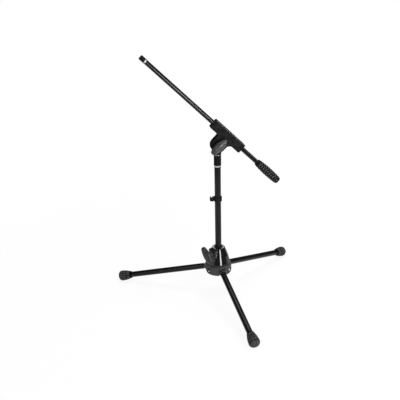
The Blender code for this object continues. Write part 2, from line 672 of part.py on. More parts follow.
def build_clip():
    """A spring ring on the mast with a hooked loop for the cable."""
    clip = empty("clip", hub, (0, 0, CLIP_LEVEL))
    inner = MAST_SOCKET / 2
    outer = inner + CLIP_WALL
    hook_inner = CLIP_HOOK_BORE / 2
    hook_outer = hook_inner + CLIP_WALL
    offset = outer + hook_inner + CLIP_HOOK_STEP
    hook_place = (offset * math.cos(CLIP_HOOK_TURN), offset * math.sin(CLIP_HOOK_TURN), 0)
    half = CLIP_HEIGHT / 2
    ring = rod("cable_clip", outer, -half, half, clip, MATT_BLACK, edge=CLIP_WALL / 4)
    hook_half = half - CLIP_HOOK_STEP
    hook = rod("clip_hook", hook_outer, -hook_half, hook_half, clip, edge=CLIP_WALL / 4, location=hook_place)
    bore = rod("clip_bore", inner, -CLIP_HEIGHT, CLIP_HEIGHT, clip)
    hook_bore = rod("clip_hook_bore", hook_inner, -CLIP_HEIGHT, CLIP_HEIGHT, clip, location=hook_place)
    mouth = box(
        "clip_mouth",
        (0, -CLIP_MOUTH / 2, -CLIP_HEIGHT),
        (2 * outer, CLIP_MOUTH / 2, CLIP_HEIGHT),
        clip,
        rotation=(0, 0, CLIP_MOUTH_TURN),
    )
    hook_mouth = box(
        "clip_hook_mouth",
        (0, -CLIP_HOOK_MOUTH / 2, -CLIP_HEIGHT),
        (2 * hook_outer, CLIP_HOOK_MOUTH / 2, CLIP_HEIGHT),
        clip,
        location=hook_place,
        rotation=(0, 0, CLIP_HOOK_TURN - CLIP_HOOK_MOUTH_TURN),
    )
    cut(join(ring, hook), bore, hook_bore, mouth, hook_mouth)


def build_extension():
    outside = EXTENSION_DIAMETER / 2
    bore = outside - EXTENSION_WALL
    top = STUD_FLANGE_BOTTOM - SEAT_GAP
    bottom = top - EXTENSION_LENGTH
    tube("extension_tube", outside, bore, bottom, top, hub, ZINC, 24)
    guide = MAST_BORE / 2 - BORE_GAP
    spigot = bore - BORE_GAP
    under = bottom - SEAT_GAP
    bush = [(0, bottom + EXTENSION_BUSH_LENGTH), (spigot, bottom + EXTENSION_BUSH_LENGTH), (spigot, under)]
    bush += [(guide, under), (guide, under - EXTENSION_BUSH_LENGTH), (0, under - EXTENSION_BUSH_LENGTH)]
    turned("extension_bush", bush, hub, NYLON, sides=24)

    flange = STUD_FLANGE_DIAMETER / 2
    pin = STUD_DIAMETER / 2
    pin_top = KNUCKLE_NECK_TOP - STUD_SETBACK - SEAT_GAP
    stud = [(0, pin_top), (pin, pin_top), (pin, STUD_FLANGE_TOP), (flange, STUD_FLANGE_TOP)]
    stud += [(flange, STUD_FLANGE_BOTTOM), (spigot, STUD_FLANGE_BOTTOM)]
    stud.append((spigot, STUD_FLANGE_BOTTOM - STUD_SPIGOT))
    stud.append((0, STUD_FLANGE_BOTTOM - STUD_SPIGOT))
    turned("extension_stud", stud, hub, BRIGHT_METAL)


def build_knuckle():
    """A round neck that swivels on the stud, with a flat tongue up to the tilt pivot."""
    outer = KNUCKLE_DIAMETER / 2
    pivot = empty("knuckle_pivot", hub, (0, 0, PIVOT_HEIGHT))
    neck_top = KNUCKLE_NECK_TOP - PIVOT_HEIGHT
    neck_bottom = KNUCKLE_BOTTOM - PIVOT_HEIGHT
    round_end = TONGUE_DIAMETER / 2
    root = KNUCKLE_DIAMETER / 2
    outline = arc((0, 0), round_end, 0, 180, 16) + [(-root, neck_top), (-root, neck_top - KNUCKLE_NECK / 2)]
    outline += [(root, neck_top - KNUCKLE_NECK / 2), (root, neck_top)]
    knuckle = plate("swivel_knuckle", outline, TONGUE_THICKNESS / 2, pivot, MATT_BLACK,
                    rotation=TOWARDS_FRONT)
    neck = rod("knuckle_neck", outer, neck_bottom, neck_top, pivot, edge=KNUCKLE_EDGE)
    socket = rod("stud_socket", STUD_DIAMETER / 2 + BORE_GAP, neck_bottom - OVERCUT, neck_top - STUD_SETBACK,
                 pivot, sides=SMALL_SIDES)
    hole = rod("tongue_hole", WING_THREAD_HOLE / 2, -STEM_WIDTH, STEM_WIDTH, pivot, sides=SMALL_SIDES,
               rotation=TOWARDS_FRONT)
    cut(join(knuckle, neck), socket, hole)


def clamp_outline():
    """The T seen from the front: boom bar above, stem with a round end about the pivot."""
    half = STEM_WIDTH / 2
    under = BOOM_OFFSET - CLAMP_BORE - CLAMP_UNDER_WALL
    over = BOOM_OFFSET + CLAMP_BORE + CLAMP_TOP_WALL
    front = -CLAMP_FRONT_REACH
    rear = CLAMP_REAR_REACH
    corner = CLAMP_CORNER
    points = arc((front + corner, over - corner), corner, 90, 180, 3)
    points += arc((front + corner, under + corner), corner, 180, 270, 3)
    points += arc((STEM_SHIFT - half - corner, under - corner), corner, 90, 0, 3)
    points += arc((STEM_SHIFT, 0), half, 180, 360, 24)
    points += arc((STEM_SHIFT + half + STEM_FILLET, under - STEM_FILLET), STEM_FILLET, 180, 90, 5)
    points += arc((rear - corner, under + corner), corner, 270, 360, 3)
    points += arc((rear - corner, over - corner), corner, 0, 90, 3)
    return points


def build_clamp(tilt):
    """Two mirrored shells that meet on the boom's plane, with the knuckle's tongue between."""
    reach = CLAMP_FRONT_REACH + CLAMP_REAR_REACH
    slot_half = TONGUE_THICKNESS / 2 + SEAT_GAP + DISC_THICKNESS + SEAT_GAP
    for side, sign in (("front", -1), ("rear", 1)):
        shell = plate(f"boom_clamp_{side}", clamp_outline(), CLAMP_HALF_WIDTH, tilt, MATT_BLACK,
                      edge=CLAMP_EDGE, rotation=TOWARDS_FRONT)
        bounds = sorted((sign * SEAT_GAP, -sign * STEM_WIDTH))
        other_half = box(f"clamp_split_{side}", (-reach, bounds[0], -reach), (reach, bounds[1], reach), tilt)
        bore = rod(f"boom_bore_{side}", BOOM_DIAMETER / 2 + BORE_GAP, -reach, reach, tilt,
                   location=(0, 0, BOOM_OFFSET), rotation=TOWARDS_TIP)
        slot = box(f"stem_slot_{side}", (-reach, -slot_half, -reach), (reach, slot_half, STEM_SLOT_TOP), tilt)
        hole = rod(f"bolt_hole_{side}", WING_THREAD_HOLE / 2, -STEM_WIDTH, STEM_WIDTH, tilt,
                   sides=SMALL_SIDES, rotation=TOWARDS_FRONT)
        cut(shell, other_half, bore, slot, hole)
        near = TONGUE_THICKNESS / 2 + SEAT_GAP
        span = sorted((-sign * near, -sign * (near + DISC_THICKNESS)))
        tube(f"friction_disc_{side}", DISC_DIAMETER / 2, WING_THREAD_HOLE / 2, span[0], span[1], tilt, NYLON,
             rotation=TOWARDS_FRONT)


def build_pivot_bolt(tilt):
    """A hexagon bolt from the rear shell to the wing knob in front."""
    seat = CLAMP_HALF_WIDTH + SEAT_GAP
    end = seat + WING_THREAD_GRIP
    bolt = rod("pivot_bolt", WING_THREAD_DIAMETER / 2, -seat - BOLT_HEAD_HEIGHT / 2, end - SEAT_GAP, tilt,
               ZINC, SMALL_SIDES, rotation=TOWARDS_FRONT)
    head = rod("pivot_bolt_head", BOLT_HEAD_DIAMETER / 2, -seat - BOLT_HEAD_HEIGHT, -seat, tilt, sides=6,
               rotation=TOWARDS_FRONT)
    join(bolt, head)
    axis = empty("boom_wing_axis", tilt, rotation=TOWARDS_FRONT)
    knob = build_wing("boom_wing_knob", axis, seat, BOOM_WING_LEAN)
    outer = WING_THREAD_HOLE / 2 + INSERT_WALL
    insert_end = seat + INSERT_LENGTH
    pocket = [(0, end), (WING_THREAD_HOLE / 2, end), (WING_THREAD_HOLE / 2, insert_end + SEAT_GAP)]
    pocket += [(outer + BORE_GAP, insert_end + SEAT_GAP), (outer + BORE_GAP, seat - OVERCUT)]
    pocket.append((0, seat - OVERCUT))
    cut(knob, turned("boom_wing_pocket", pocket, axis, sides=SMALL_SIDES))
    tube("boom_wing_insert", outer, WING_THREAD_HOLE / 2, seat, insert_end, axis, BRASS, SMALL_SIDES)


def grip_radius(along):
    """Barrel radius at a share from the grip's front (0) to its rear (1), without relief."""
    swell = math.sin(math.radians(180) * along)
    ends = GRIP_FRONT_DIAMETER + (GRIP_REAR_DIAMETER - GRIP_FRONT_DIAMETER) * along
    middle = (GRIP_FRONT_DIAMETER + GRIP_REAR_DIAMETER) / 2
    return (ends + (GRIP_DIAMETER - middle) * swell) / 2


def grip_mesh(name):
    """Rings lofted along local Z, with raised pads in staggered rows."""
    length = GRIP_FRONT - GRIP_REAR
    body = length - 2 * GRIP_EDGE
    count = round(body / GRIP_PAD_PITCH * GRIP_RINGS_PER_PITCH)
    sections = [(GRIP_REAR, grip_radius(1) - GRIP_EDGE, 0)]
    for i in range(count + 1):
        distance = GRIP_EDGE + body * i / count
        fade = math.sin(math.radians(180) * i / count) ** 0.25
        sections.append((GRIP_REAR + distance, grip_radius(1 - distance / length), GRIP_RELIEF * fade))
    sections.append((GRIP_FRONT, grip_radius(0) - GRIP_EDGE / 2, 0))
    bm = bmesh.new()
    rings = []
    for height, radius, relief in sections:
        ring = []
        wave = math.cos(math.radians(360) * (height - GRIP_REAR) / GRIP_PAD_PITCH)
        for j in range(GRIP_SIDES):
            angle = math.radians(360) * j / GRIP_SIDES
            raised = radius + relief * max(0, wave * math.cos(GRIP_PAD_COLUMNS * angle))
            ring.append(bm.verts.new((raised * math.cos(angle), raised * math.sin(angle), height)))
        rings.append(ring)
    for low, high in zip(rings, rings[1:]):
        for j in range(GRIP_SIDES):
            k = (j + 1) % GRIP_SIDES
            bm.faces.new((low[j], low[k], high[k], high[j]))
    bm.faces.new(list(reversed(rings[0])))
    bm.faces.new(rings[-1])
    mesh = bpy.data.meshes.new(name)
    bm.to_mesh(mesh)
    bm.free()
    return mesh


def build_boom(tilt):
    """The boom tube with its threaded tip, thread cap and counterweight grip."""
    axis = empty("boom_axis", tilt, (0, 0, BOOM_OFFSET), TOWARDS_TIP)
    outside = BOOM_DIAMETER / 2
    bore = outside - BOOM_WALL
    spigot = bore - BORE_GAP
    tube("boom_rod", outside, bore, -BOOM_REAR_REACH, BOOM_FRONT_REACH, axis, POWDER_COAT, 24)
    rear = -BOOM_REAR_REACH
    rod("boom_rear_plug", spigot, rear, rear + REAR_PLUG_LENGTH, axis, NYLON, SMALL_SIDES)

    grip = add("boom_grip", grip_mesh("boom_grip"), axis, RUBBER)
    socket = rod("grip_socket", outside + BORE_GAP, -BOOM_REAR_REACH - SEAT_GAP, GRIP_FRONT + OVERCUT, axis)
    cut(grip, socket)

    thread = TIP_THREAD_DIAMETER / 2
    cap_bore = thread + BORE_GAP
    cap_outside = cap_bore + CAP_WALL
    flange = TIP_FLANGE_DIAMETER / 2
    under = BOOM_FRONT_REACH + SEAT_GAP
    face = under + TIP_FLANGE_HEIGHT
    shoulder_top = face + TIP_SHOULDER_HEIGHT
    thread_top = shoulder_top + TIP_THREAD_LENGTH
    shoulder = cap_outside + BORE_GAP / 2
    stud = [(0, thread_top), (thread - CAP_EDGE, thread_top)]
    stud += [(thread, thread_top - CAP_EDGE), (thread, shoulder_top)]
    stud += [(shoulder, shoulder_top), (shoulder, face), (flange, face), (flange, under), (spigot, under)]
    stud += [(spigot, under - TIP_SPIGOT), (0, under - TIP_SPIGOT)]
    turned("boom_tip_stud", stud, axis, BRIGHT_METAL, sides=24)

    cap_bottom = shoulder_top + SEAT_GAP
    cap_inside = thread_top + SEAT_GAP
    cap_top = cap_inside + CAP_END_WALL
    cap = [(0, cap_top), (cap_outside - CAP_EDGE, cap_top), (cap_outside, cap_top - CAP_EDGE)]
    cap += [(cap_outside, cap_bottom), (cap_bore, cap_bottom), (cap_bore, cap_inside), (0, cap_inside)]
    turned("thread_cap", cap, axis, NYLON, sides=24)


def settle(piece):
    """Applies a part's modifiers and shades its round faces smooth."""
    graph = bpy.context.evaluated_depsgraph_get()
    mesh = bpy.data.meshes.new_from_object(piece.evaluated_get(graph))
    piece.modifiers.clear()
    piece.data = mesh
    mesh.shade_smooth()
    mesh.set_sharp_from_angle(angle=math.radians(35))


def centre_on_floor(parts):
    """Moves the stand so that the middle of its footprint is the origin."""
    bpy.context.view_layer.update()
    points = [piece.matrix_world @ vertex.co for piece in parts for vertex in piece.data.vertices]
    spans = [(min(p[k] for p in points), max(p[k] for p in points)) for k in range(2)]
    stand.location = (-sum(spans[0]) / 2, -sum(spans[1]) / 2, 0)


def build():
    for number, azimuth in enumerate(leg_azimuths(), 1):
        build_leg(number, azimuth)
        build_leg_pin(number, azimuth)
        build_carrier_screw(number, azimuth)
    build_carrier()
    wing_axis = hub_wing_frame()
    build_cone(wing_axis)
    build_hub_wing(wing_axis)
    build_mast()
    build_clutch()
    build_clip()
    build_extension()
    build_knuckle()
    tilt = empty("boom_tilt", hub, (0, 0, PIVOT_HEIGHT), (0, BOOM_TILT, 0))
    build_clamp(tilt)
    build_pivot_bolt(tilt)
    build_boom(tilt)
    parts = [piece for piece in PARTS.objects if piece.type == "MESH"]
    bpy.context.view_layer.update()
    for piece in parts:
        settle(piece)
    centre_on_floor(parts)


build()
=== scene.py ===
"""Looks for the low boom microphone stand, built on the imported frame.

Lengths are in metres. Z is up, and the boom's microphone end points towards -X.
"""

import json
import math

import bmesh
import bpy
from mathutils import Matrix, Vector


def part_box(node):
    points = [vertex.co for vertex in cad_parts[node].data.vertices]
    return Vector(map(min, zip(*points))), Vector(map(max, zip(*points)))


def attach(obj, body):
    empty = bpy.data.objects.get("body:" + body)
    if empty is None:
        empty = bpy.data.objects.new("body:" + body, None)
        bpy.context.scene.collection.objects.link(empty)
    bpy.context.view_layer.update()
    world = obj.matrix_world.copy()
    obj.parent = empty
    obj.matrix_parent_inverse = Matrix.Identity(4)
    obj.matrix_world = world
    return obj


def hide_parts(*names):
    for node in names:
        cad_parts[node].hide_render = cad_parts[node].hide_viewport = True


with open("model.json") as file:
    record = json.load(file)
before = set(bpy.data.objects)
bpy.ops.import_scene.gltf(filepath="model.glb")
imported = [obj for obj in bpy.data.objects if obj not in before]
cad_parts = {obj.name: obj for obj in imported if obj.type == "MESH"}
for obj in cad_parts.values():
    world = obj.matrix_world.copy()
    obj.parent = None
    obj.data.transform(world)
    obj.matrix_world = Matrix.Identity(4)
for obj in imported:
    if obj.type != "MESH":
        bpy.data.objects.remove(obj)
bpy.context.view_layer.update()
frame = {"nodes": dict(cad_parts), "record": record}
NODES = frame["nodes"]
SLOT_OF = {part["node"]: part["material_slot"] for part in frame["record"]["subparts"]}
BODY_OF = {name: body
           for body, names in frame["record"]["behaviour"]["bodies"].items() for name in names}

# The source's sizes that the finer pieces repeat; azimuths and slopes are in degrees
MAST = Vector((0.013958, 0.060456, 0.0))
FIRST_LEG_AZIMUTH = 35.5
LEG_SLOPE = 13.6
LEG_LENGTH = 0.2875
HINGE_RADIUS = 0.030
HINGE_HEIGHT = 0.079742
HUB_SCREW = MAST + Vector((0, 0, 0.130642))
HUB_SCREW_AZIMUTH = 215.5
PIVOT = MAST + Vector((0, 0, 0.449842))
TILT = math.radians(44.8)
BOOM_DIRECTION = Vector((-math.cos(TILT), 0, math.sin(TILT)))
BOOM_NORMAL = Vector((math.sin(TILT), 0, math.cos(TILT)))
BOOM_CENTRE = PIVOT + 0.0354 * BOOM_NORMAL

# How far the wing knobs' paddles lean from level, in degrees
HUB_PADDLE_LEAN = -53
BOOM_PADDLE_LEAN = 40.2

# Edges that turn further than these angles in degrees stay sharp
MOULDED_EDGE, KNOB_EDGE, TURNED_EDGE, CONE_EDGE = 60, 50, 35, 12

# Most of a noise texture lies between these values
NOISE_LOW, NOISE_HIGH = 0.35, 0.65

# The sizes of the noise that varies a dark finish's colour, roughness, and its wear with the
# painted highlight on it
COLOUR_NOISE, ROUGHNESS_NOISE, WEAR_AND_HIGHLIGHT_NOISE = 0.012, 0.004, 0.007

# Where a dark finish is worn it also carries a painted highlight: how pale that is, its share of
# the roughness, and its shine
HIGHLIGHT_GREY, HIGHLIGHT_LIFT = 0.08, 2
WORN_ROUGHNESS = 0.45
WORN_SHINE = 0.35

# What the stand gets of light from all round, and what it mirrors of the room's upper part
AMBIENT = 0.3
CEILING = 0.1


class Tree:
    """The nodes of a material or a world, with helpers for what drives its shader."""

    def __init__(self, owner):
        owner.use_nodes = True
        self.nodes = owner.node_tree.nodes
        self.links = owner.node_tree.links

    def output(self, kind, socket):
        return self.nodes.new(kind).outputs[socket]

    def ramp(self, value, low, high, start=NOISE_LOW, end=NOISE_HIGH):
        """Maps start..end of value to low..high, which are two numbers or two colours."""
        if isinstance(low, tuple):
            node = self.nodes.new("ShaderNodeValToRGB")
            first, last = node.color_ramp.elements
            first.position, last.position = start, end
            first.color, last.color = (*low, 1), (*high, 1)
            self.links.new(value, node.inputs["Fac"])
            return node.outputs["Color"]
        node = self.nodes.new("ShaderNodeMapRange")
        numbers = {"From Min": start, "From Max": end, "To Min": low, "To Max": high}
        for socket, number in numbers.items():
            node.inputs[socket].default_value = number
        self.links.new(value, node.inputs["Value"])
        return node.outputs["Result"]

    def combine(self, operation, first, second):
        node = self.nodes.new("ShaderNodeMath")
        node.operation = operation
        self.links.new(first, node.inputs[0])
        self.links.new(second, node.inputs[1])
        return node.outputs[0]

    def product(self, first, second):
        return self.combine("MULTIPLY", first, second)

    def blend(self, share, low, high):
        """low where share is 0 and high where it is 1; each is a number or a socket."""
        node = self.nodes.new("ShaderNodeMix")
        self.links.new(share, node.inputs[0])
        for socket, value in ((node.inputs[2], low), (node.inputs[3], high)):
            if isinstance(value, float):
                socket.default_value = value
            else:
                self.links.new(value, socket)
        return node.outputs[0]

    def white_rays(self):
        """1 for camera, glossy and transmission rays, which see the white studio."""
        path = self.nodes.new("ShaderNodeLightPath").outputs
        seen = self.combine("MAXIMUM", path["Is Camera Ray"], path["Is Glossy Ray"])
        return self.combine("MAXIMUM", seen, path["Is Transmission Ray"])


class Finish(Tree):
    """A material whose Principled BSDF is driven by noise in object space."""

    def __init__(self, name, colour, roughness, metallic=0.0, shine=0.5):
        self.material = bpy.data.materials.new(name)
        super().__init__(self.material)
        self.bsdf = self.nodes["Principled BSDF"]
        self.bsdf.inputs["Base Color"].default_value = (*colour, 1)
        self.bsdf.inputs["Roughness"].default_value = roughness
        self.bsdf.inputs["Metallic"].default_value = metallic
        self.bsdf.inputs["Specular IOR Level"].default_value = shine
        self.place = self.output("ShaderNodeTexCoord", "Object")

    def drive(self, socket, value):
        self.links.new(value, self.bsdf.inputs[socket])

    def noise(self, size, detail):
        """Noise whose features are about size metres across."""
        mapping = self.nodes.new("ShaderNodeMapping")
        mapping.inputs["Scale"].default_value = (1 / size,) * 3
        texture = self.nodes.new("ShaderNodeTexNoise")
        texture.inputs["Scale"].default_value = 1.0
        texture.inputs["Detail"].default_value = detail
        self.links.new(self.place, mapping.inputs["Vector"])
        self.links.new(mapping.outputs["Vector"], texture.inputs["Vector"])
        return texture.outputs["Fac"]

    def attribute(self, name):
        """A number that the mesh carries."""
        node = self.nodes.new("ShaderNodeAttribute")
        node.attribute_name = name
        return node.outputs["Fac"]

    def wear_and_highlight(self):
        """How far the mesh marks a place as worn and painted with a highlight, in patches."""
        worn = self.ramp(self.attribute("wear_and_highlight"), 0.0, 1.0, start=0.3, end=0.75)
        return self.product(worn, self.ramp(self.noise(WEAR_AND_HIGHLIGHT_NOISE, 4), 0.6, 1.0))

    def mixed(self, share, colour, pale):
        """The colour of a socket, going to pale where share is 1."""
        mix = self.nodes.new("ShaderNodeMix")
        mix.data_type = "RGBA"
        self.links.new(share, mix.inputs[0])
        self.links.new(colour, mix.inputs[6])
        mix.inputs[7].default_value = (*pale, 1)
        return mix.outputs[2]

    def bump(self, height, depth, strength):
        """Raises height, a 0 to 1 value, as a relief depth metres tall."""
        node = self.nodes.new("ShaderNodeBump")
        node.inputs["Strength"].default_value = strength
        node.inputs["Distance"].default_value = depth
        self.links.new(height, node.inputs["Height"])
        self.drive("Normal", node.outputs["Normal"])


def grey(value):
    return (value, value, value)


def grained(name, greys, sheen, grain, relief, shine):
    """A dark finish with cloudy greys, patchy roughness and a raised grain, painted paler where
    worn as a painted highlight.

    greys and sheen are the lowest and highest colour and roughness; grain and relief are the
    width and height of the grain.
    """
    dark, light = greys
    finish = Finish(name, grey(dark), sheen[0], shine=shine)
    wear_and_highlight = finish.wear_and_highlight()
    cloud = finish.ramp(finish.noise(COLOUR_NOISE, 4), grey(dark), grey(light))
    # The pale colour of worn places is a painted highlight along the clamp's upper edges
    finish.drive("Base Color", finish.mixed(wear_and_highlight, cloud, grey(HIGHLIGHT_GREY + HIGHLIGHT_LIFT * light)))
    polish = finish.ramp(wear_and_highlight, 1.0, WORN_ROUGHNESS, 0.0, 1.0)
    patches = finish.ramp(finish.noise(ROUGHNESS_NOISE, 4), *sheen)
    finish.drive("Roughness", finish.product(patches, polish))
    finish.drive("Specular IOR Level", finish.ramp(wear_and_highlight, shine, WORN_SHINE, 0.0, 1.0))
    finish.bump(finish.noise(grain, 2), relief, strength=0.6)
    return finish.material


def metal(name, dull, pale, cloud, sheen, patch, grain, relief, metallic=1.0):
    """A metal or its plating: cloudy colour, patchy roughness and a fine grain.

    cloud and grain are the size and detail of their noise, patch is the size of the roughness
    patches, and relief is the grain's height and strength.
    """
    finish = Finish(name, pale, sheen[0], metallic)
    finish.drive("Base Color", finish.ramp(finish.noise(*cloud), dull, pale))
    finish.drive("Roughness", finish.ramp(finish.noise(patch, 4), *sheen))
    finish.bump(finish.noise(*grain), *relief)
    return finish.material


def bright(name, pale, sheen, metallic):
    """Bright plating with slightly duller clouds."""
    dull = tuple(0.89 * share for share in pale)
    return metal(name, dull, pale, cloud=(0.006, 3), sheen=sheen, patch=0.0015, grain=(0.001, 2),
                 relief=(0.00001, 0.3), metallic=metallic)


def rubber_with_painted_light():
    """Rubber whose colour is painted light from the mesh: a painted highlight on its raised parts
    and painted shade in its grooves.
    """
    finish = Finish("rubber_with_painted_light", grey(0.03), 0.4, shine=0.03)
    patches = finish.ramp(finish.noise(0.006, 4), 0.55, 1.0)
    painted_light = finish.product(finish.attribute("painted_light"), patches)
    # Painted light: pale on raised parts as a painted highlight, dark in the grooves as painted
    # shade
    finish.drive("Base Color", finish.ramp(painted_light, grey(0.0016), grey(0.132), 0.0, 1.0))
    finish.drive("Roughness", finish.ramp(finish.noise(0.003, 4), 0.34, 0.46))
    finish.bump(finish.noise(0.0010, 2), depth=0.00006, strength=0.5)
    return finish.material


FINISHES = {
    "black_coat": grained("powder_coat", greys=(0.0023, 0.0062), sheen=(0.09, 0.15),
                          grain=0.0009, relief=0.000008, shine=0.21),
    "grey_casting": grained("grey_casting", greys=(0.0275, 0.047), sheen=(0.40, 0.55),
                            grain=0.0009, relief=0.00004, shine=0.2),
    "gloss_black": grained("gloss_moulding", greys=(0.003, 0.0075), sheen=(0.05, 0.09),
                           grain=0.006, relief=0.000003, shine=0.42),
    "matt_black": grained("matt_moulding", greys=(0.0086, 0.0172), sheen=(0.45, 0.60),
                          grain=0.0010, relief=0.00005, shine=0.01),
    "black_nylon": grained("nylon", greys=(0.0062, 0.0125), sheen=(0.38, 0.52),
                           grain=0.0008, relief=0.00003, shine=0.06),
    "black_rubber": grained("rubber", greys=(0.028, 0.053), sheen=(0.55, 0.75),
                            grain=0.0010, relief=0.00006, shine=0.15),
    "bright_plating": bright("bright_plating", (0.90, 0.90, 0.89), (0.12, 0.26), 1.0),
    "zinc_steel": metal("zinc_plating", grey(0.30), (0.42, 0.42, 0.41), cloud=(0.005, 4),
                        sheen=(0.28, 0.45), patch=0.002, grain=(0.0008, 3), relief=(0.00002, 0.4)),
    "brass": metal("brass", (0.52, 0.36, 0.14), (0.66, 0.48, 0.22), cloud=(0.003, 4),
                   sheen=(0.24, 0.40), patch=0.001, grain=(0.0006, 2), relief=(0.00002, 0.4)),
}
# The wing knobs' black moulding, painted paler where lit on the boom's knob and darker as painted
# shade on the hub's paddle
LIT_LEAF = grained("lit_leaf_moulding", greys=(0.028, 0.053), sheen=(0.26, 0.36),
               grain=0.0010, relief=0.00004, shine=0.34)
SHADED_PADDLE = grained("shaded_paddle_moulding", greys=(0.017, 0.034), sheen=(0.26, 0.36),
                 grain=0.0010, relief=0.00004, shine=0.26)
KNURLED = grained("knurled_moulding", greys=(0.003, 0.006), sheen=(0.16, 0.26),
                  grain=0.0010, relief=0.00002, shine=0.09)
RUBBER_WITH_PAINTED_LIGHT = rubber_with_painted_light()
SATIN = bright("satin_plating", (0.54, 0.54, 0.53), (0.28, 0.44), 0.7)
DARK_PLATING = metal("dark_plating", grey(0.05), grey(0.10), cloud=(0.004, 4), sheen=(0.30, 0.48),
                     patch=0.002, grain=(0.0008, 3), relief=(0.00002, 0.4))


def finish_of(name):
    if name == "boom_tip_stud":
        return SATIN
    return DARK_PLATING if name.startswith("leg_eye") else FINISHES[SLOT_OF[name]]


def direction(azimuth, elevation=0.0):
    """The unit vector at angles in degrees round Z and above the floor."""
    azimuth, elevation = math.radians(azimuth), math.radians(elevation)
    flat = math.cos(elevation)
    return Vector((flat * math.cos(azimuth), flat * math.sin(azimuth), math.sin(elevation)))


def axis_frame(origin, along, side=None):
    """A matrix whose Z runs along the given direction, and X towards side where it is given."""
    z = Vector(along).normalized()
    if side is None:
        side = (1, 0, 0) if abs(z.x) < 0.8 else (0, 1, 0)
    hint = Vector(side)
    x = (hint - z * hint.dot(z)).normalized()
    y = z.cross(x)
    return Matrix.Translation(origin) @ Matrix((x, y, z)).transposed().to_4x4()


def dress(bm, name, replaced, finish, angle):
    """Makes a piece of a mesh, in place of a CAD node, smooth but for edges over the angle."""
    bmesh.ops.recalc_face_normals(bm, faces=bm.faces)
    mesh = bpy.data.meshes.new(name)
    bm.to_mesh(mesh)
    bm.free()
    mesh.shade_smooth()
    mesh.set_sharp_from_angle(angle=math.radians(angle))
    mesh.materials.append(finish)
    piece = bpy.data.objects.new(name, mesh)
    bpy.context.scene.collection.objects.link(piece)
    body, slot = BODY_OF[replaced], SLOT_OF[replaced]
    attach(piece, body)
    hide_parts(replaced)


def close_rings(bm, rings):
    """Joins each ring of vertices to the next."""
    for ring, following in zip(rings, rings[1:]):
        count = len(ring)
        for j in range(count):
            k = (j + 1) % count
            bm.faces.new((ring[j], ring[k], following[k], following[j]))


def lathe(bm, profile, matrix, sides, radial=None, painted_light=None):
    """Turns (radius, height) points and closes both ends flat.

    radial(angle, radius, height) may reshape each ring, and the last argument, a function of
    (angle, height), may paint light and shade on it.
    """
    layer = bm.verts.layers.float.new("painted_light") if painted_light else None
    rings = []
    for radius, height in profile:
        ring = []
        for j in range(sides):
            angle = math.tau * j / sides
            r = radial(angle, radius, height) if radial else radius
            point = Vector((r * math.cos(angle), r * math.sin(angle), height))
            ring.append(bm.verts.new(matrix @ point))
            if painted_light:
                ring[-1][layer] = painted_light(angle, height)
        rings.append(ring)
    close_rings(bm, rings)
    bm.faces.new(rings[0])
    bm.faces.new(rings[-1])


def smoothstep(low, high, value):
    t = min(max((value - low) / (high - low), 0), 1)
    return t * t * (3 - 2 * t)


def mound(place, width, value):
    """1 at place, falling to 0 over about the width on either side."""
    return math.exp(-(((value - place) / width) ** 2))


def feet():
    """Pear-shaped rubber feet with fine lengthwise grooves and a band."""
    widest, neck, bulge, length = 0.01525, 0.0099, 0.011, 0.041
    tip, lip, bore = 0.0004, 0.0006, 0.0087
    nose_square = 2.6
    nose_steps, flank_steps, sides = 14, 40, 112
    band, band_width, band_depth = 0.0159, 0.0009, 0.0008
    # Rings of painted shade along the foot, and their width
    shaded_rings, ring_width = (0.0065, band, 0.0270), 0.0011
    rib_count, groove_depth = 14, 0.0007
    # Where the ribs start and end, and where the painted shade at the neck begins
    ribs_start, ribs_end, neck_shade_start = (0.0170, 0.0190), (0.036, 0.039), (0.0365, 0.0375)
    # The painted highlight on the ribs and its share on the nose, where the nose ends, and how
    # dark the painted shade of the rings is
    rib_highlight, nose_highlight, nose_end, ring_shade = 0.55, 0.7, (0.010, 0.020), 0.9
    inset = 0.0002  # keeps the foot inside the CAD's box

    profile = [(tip, 0.0)]
    for i in range(1, nose_steps + 1):
        across = math.sin(math.pi / 2 * i / nose_steps)
        along = (1 - across**nose_square) ** (1 / nose_square) if across < 1 else 0
        profile.append((widest * across, bulge * (1 - along)))
    for i in range(1, flank_steps + 1):
        setback = bulge + (length - bulge) * i / flank_steps
        flank = math.sin(math.pi / 2 * (length - setback) / (length - bulge))
        radius = neck + (widest - neck) * flank
        profile.append((radius - band_depth * mound(band, band_width, setback), setback))
    profile += [(neck - lip, length), (bore, length)]

    def rib(angle, setback):
        """1 on the ribs and the plain nose, and 0 in the grooves."""
        share = smoothstep(*ribs_start, setback) * (1 - smoothstep(*ribs_end, setback))
        return 1 - share * smoothstep(-0.2, 0.6, math.cos(rib_count * angle))

    def ribbed(angle, radius, setback):
        return radius - groove_depth * (1 - rib(angle, setback))

    def painted_light(angle, setback):
        """Painted light: a painted highlight on the ribs, less of it on the nose, and painted
        shade in the grooves, rings and neck.
        """
        rings = sum(mound(place, ring_width, setback) for place in shaded_rings)
        body = 1 - smoothstep(*neck_shade_start, setback)
        nose = nose_highlight + (1 - nose_highlight) * smoothstep(*nose_end, setback)
        return rib_highlight * nose * rib(angle, setback) * (1 - ring_shade * min(rings, 1)) * body

    for number in (1, 2, 3):
        azimuth = FIRST_LEG_AZIMUTH + 120 * (number - 1)
        along = direction(azimuth, -LEG_SLOPE)
        hinge = MAST + direction(azimuth) * HINGE_RADIUS + Vector((0, 0, HINGE_HEIGHT))
        bm = bmesh.new()
        place = axis_frame(hinge + along * (LEG_LENGTH - inset), -along)
        lathe(bm, profile, place, sides, ribbed, painted_light)
        for vertex in bm.verts:
            vertex.co.z = max(vertex.co.z, 0)
        dress(bm, f"ribbed_foot_{number}", f"leg_foot_{number}", RUBBER_WITH_PAINTED_LIGHT, MOULDED_EDGE)


